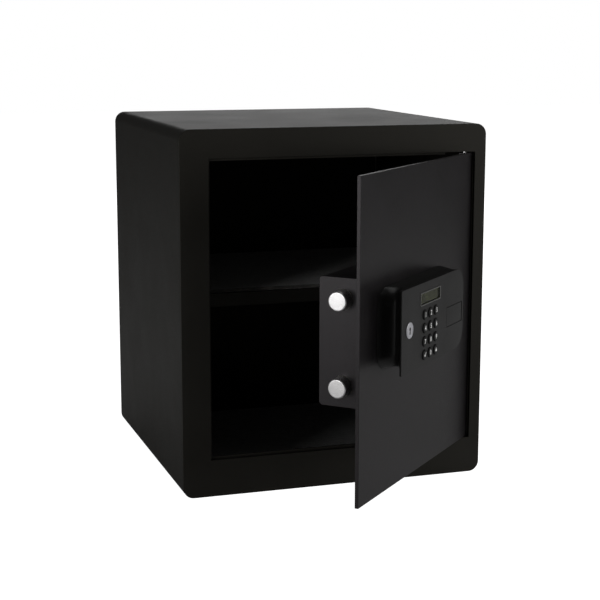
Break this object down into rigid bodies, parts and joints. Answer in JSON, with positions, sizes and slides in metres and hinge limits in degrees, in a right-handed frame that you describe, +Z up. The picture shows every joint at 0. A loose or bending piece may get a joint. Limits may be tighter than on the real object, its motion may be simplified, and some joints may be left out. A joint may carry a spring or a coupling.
{
  "type": "hotel room safe",
  "caption": "Free-standing steel room safe with a hinged keypad door, finger-pull fascia, motor-driven round bolts and a carpeted shelf.",
  "frame": {"origin": "middle of the cabinet's base, on the floor", "axes": "+X to the right seen from the front, +Y towards the back, +Z up; the door opens towards -Y"},
  "size_m": [0.35, 0.546, 0.4],
  "materials": {
    "powder_coat": "fine-textured black powder coat",
    "door_coat": "fine-textured black powder coat",
    "moulded_black": "fine spark-eroded grain",
    "key_black": "satin, white printed legends",
    "bright_steel": "polished, turned",
    "badge_silver": "satin silver",
    "zinc_plate": "zinc plated",
    "carpet": "short needle-punched pile",
    "display_glass": "clear, glossy",
    "display_panel": "olive-grey liquid crystal",
    "bezel_black": "glossy moulded frame",
    "circuit_board": "solder mask",
    "silicone": "matt",
    "brass": "machined",
    "nylon": "moulded",
    "battery_wrap": "printed sleeve",
    "red_button": "moulded",
    "ribbon": "flat grey ribbon"
  },
  "bodies": {
    "cabinet": {"body_shell": "powder_coat", "back_panel": "powder_coat", "front_frame": "powder_coat", "stop_frame": "powder_coat", "strike_rail": "powder_coat", "hinge_bracket_top": "powder_coat", "hinge_bracket_bottom": "powder_coat", "shelf": "powder_coat", "shelf_rail_left": "powder_coat", "shelf_rail_right": "powder_coat", "shelf_carpet": "carpet", "floor_carpet": "carpet"},
    "door": {"door_plate": "door_coat", "hinge_block_top": "door_coat", "hinge_block_bottom": "door_coat", "hinge_pin_top": "bright_steel", "hinge_pin_bottom": "bright_steel", "lock_chassis": "door_coat", "lock_cover": "door_coat", "bolt_guide_upper": "nylon", "bolt_guide_lower": "nylon", "gear_motor": "zinc_plate", "control_board": "circuit_board", "battery_tray": "moulded_black", "battery_1": "battery_wrap", "battery_2": "battery_wrap", "battery_3": "battery_wrap", "battery_4": "battery_wrap", "battery_cover": "moulded_black", "battery_cover_screw": "zinc_plate", "fascia_base": "moulded_black", "face_plate": "moulded_black", "lcd_bezel": "bezel_black", "lcd_window": "display_glass", "display_module": "display_panel", "keypad_mat": "silicone", "keypad_board": "circuit_board", "badge": "badge_silver", "override_barrel": "brass", "ribbon_cable": "ribbon"},
    "bolt_work": {"bolt_carriage": "zinc_plate", "bolt_upper": "bright_steel", "bolt_lower": "bright_steel"},
    "drive_pinion": {"drive_pinion": "brass"},
    "key_flap": {"key_flap": "moulded_black"},
    "override_plug": {"override_plug": "bright_steel"},
    "reset_button": {"reset_button": "red_button"},
    "key_1": {"key_1": "key_black"},
    "key_2": {"key_2": "key_black"},
    "key_3": {"key_3": "key_black"},
    "key_4": {"key_4": "key_black"},
    "key_5": {"key_5": "key_black"},
    "key_6": {"key_6": "key_black"},
    "key_7": {"key_7": "key_black"},
    "key_8": {"key_8": "key_black"},
    "key_9": {"key_9": "key_black"},
    "key_enter": {"key_enter": "key_black"},
    "key_0": {"key_0": "key_black"},
    "key_lock": {"key_lock": "key_black"}
  },
  "joints": [
    {"name": "door_hinge", "type": "hinge", "parent": "cabinet", "child": "door", "pos_m": [0.153, -0.1625, 0.2], "axis": [0, 0, 1], "range_deg": [-45, 50]},
    {"name": "bolt_throw", "type": "slide", "parent": "door", "child": "bolt_work", "axis": [-0.7071, -0.7071, 0], "range_m": [0, 0.014]},
    {"name": "pinion_turn", "type": "hinge", "parent": "door", "child": "drive_pinion", "pos_m": [-0.01352, -0.28306, 0.1945], "axis": [0.7071, -0.7071, 0], "range_deg": [0, 107]},
    {"name": "flap_swing", "type": "hinge", "parent": "door", "child": "key_flap", "pos_m": [0.11043, -0.25195, 0.20725], "axis": [0, 0, 1], "range_deg": [0, 90]},
    {"name": "override_turn", "type": "hinge", "parent": "door", "child": "override_plug", "pos_m": [0.0784, -0.24771, 0.207], "axis": [0.7071, -0.7071, 0], "range_deg": [0, 90]},
    {"name": "reset_press", "type": "slide", "parent": "door", "child": "reset_button", "axis": [0.7071, -0.7071, 0], "range_m": [0, 0.0015], "stiffness_N_per_m": 400, "springref_m": -0.0005},
    {"name": "key_1_press", "type": "slide", "parent": "door", "child": "key_1", "axis": [-0.7071, 0.7071, 0], "range_m": [0, 0.0012], "stiffness_N_per_m": 500, "springref_m": -0.0005},
    {"name": "key_2_press", "type": "slide", "parent": "door", "child": "key_2", "axis": [-0.7071, 0.7071, 0], "range_m": [0, 0.0012], "stiffness_N_per_m": 500, "springref_m": -0.0005},
    {"name": "key_3_press", "type": "slide", "parent": "door", "child": "key_3", "axis": [-0.7071, 0.7071, 0], "range_m": [0, 0.0012], "stiffness_N_per_m": 500, "springref_m": -0.0005},
    {"name": "key_4_press", "type": "slide", "parent": "door", "child": "key_4", "axis": [-0.7071, 0.7071, 0], "range_m": [0, 0.0012], "stiffness_N_per_m": 500, "springref_m": -0.0005},
    {"name": "key_5_press", "type": "slide", "parent": "door", "child": "key_5", "axis": [-0.7071, 0.7071, 0], "range_m": [0, 0.0012], "stiffness_N_per_m": 500, "springref_m": -0.0005},
    {"name": "key_6_press", "type": "slide", "parent": "door", "child": "key_6", "axis": [-0.7071, 0.7071, 0], "range_m": [0, 0.0012], "stiffness_N_per_m": 500, "springref_m": -0.0005},
    {"name": "key_7_press", "type": "slide", "parent": "door", "child": "key_7", "axis": [-0.7071, 0.7071, 0], "range_m": [0, 0.0012], "stiffness_N_per_m": 500, "springref_m": -0.0005},
    {"name": "key_8_press", "type": "slide", "parent": "door", "child": "key_8", "axis": [-0.7071, 0.7071, 0], "range_m": [0, 0.0012], "stiffness_N_per_m": 500, "springref_m": -0.0005},
    {"name": "key_9_press", "type": "slide", "parent": "door", "child": "key_9", "axis": [-0.7071, 0.7071, 0], "range_m": [0, 0.0012], "stiffness_N_per_m": 500, "springref_m": -0.0005},
    {"name": "key_enter_press", "type": "slide", "parent": "door", "child": "key_enter", "axis": [-0.7071, 0.7071, 0], "range_m": [0, 0.0012], "stiffness_N_per_m": 500, "springref_m": -0.0005},
    {"name": "key_0_press", "type": "slide", "parent": "door", "child": "key_0", "axis": [-0.7071, 0.7071, 0], "range_m": [0, 0.0012], "stiffness_N_per_m": 500, "springref_m": -0.0005},
    {"name": "key_lock_press", "type": "slide", "parent": "door", "child": "key_lock", "axis": [-0.7071, 0.7071, 0], "range_m": [0, 0.0012], "stiffness_N_per_m": 500, "springref_m": -0.0005}
  ],
  "couplings": [
    {"joint": "pinion_turn", "follows": "bolt_throw", "rad_per_m": 133.33}
  ]
}
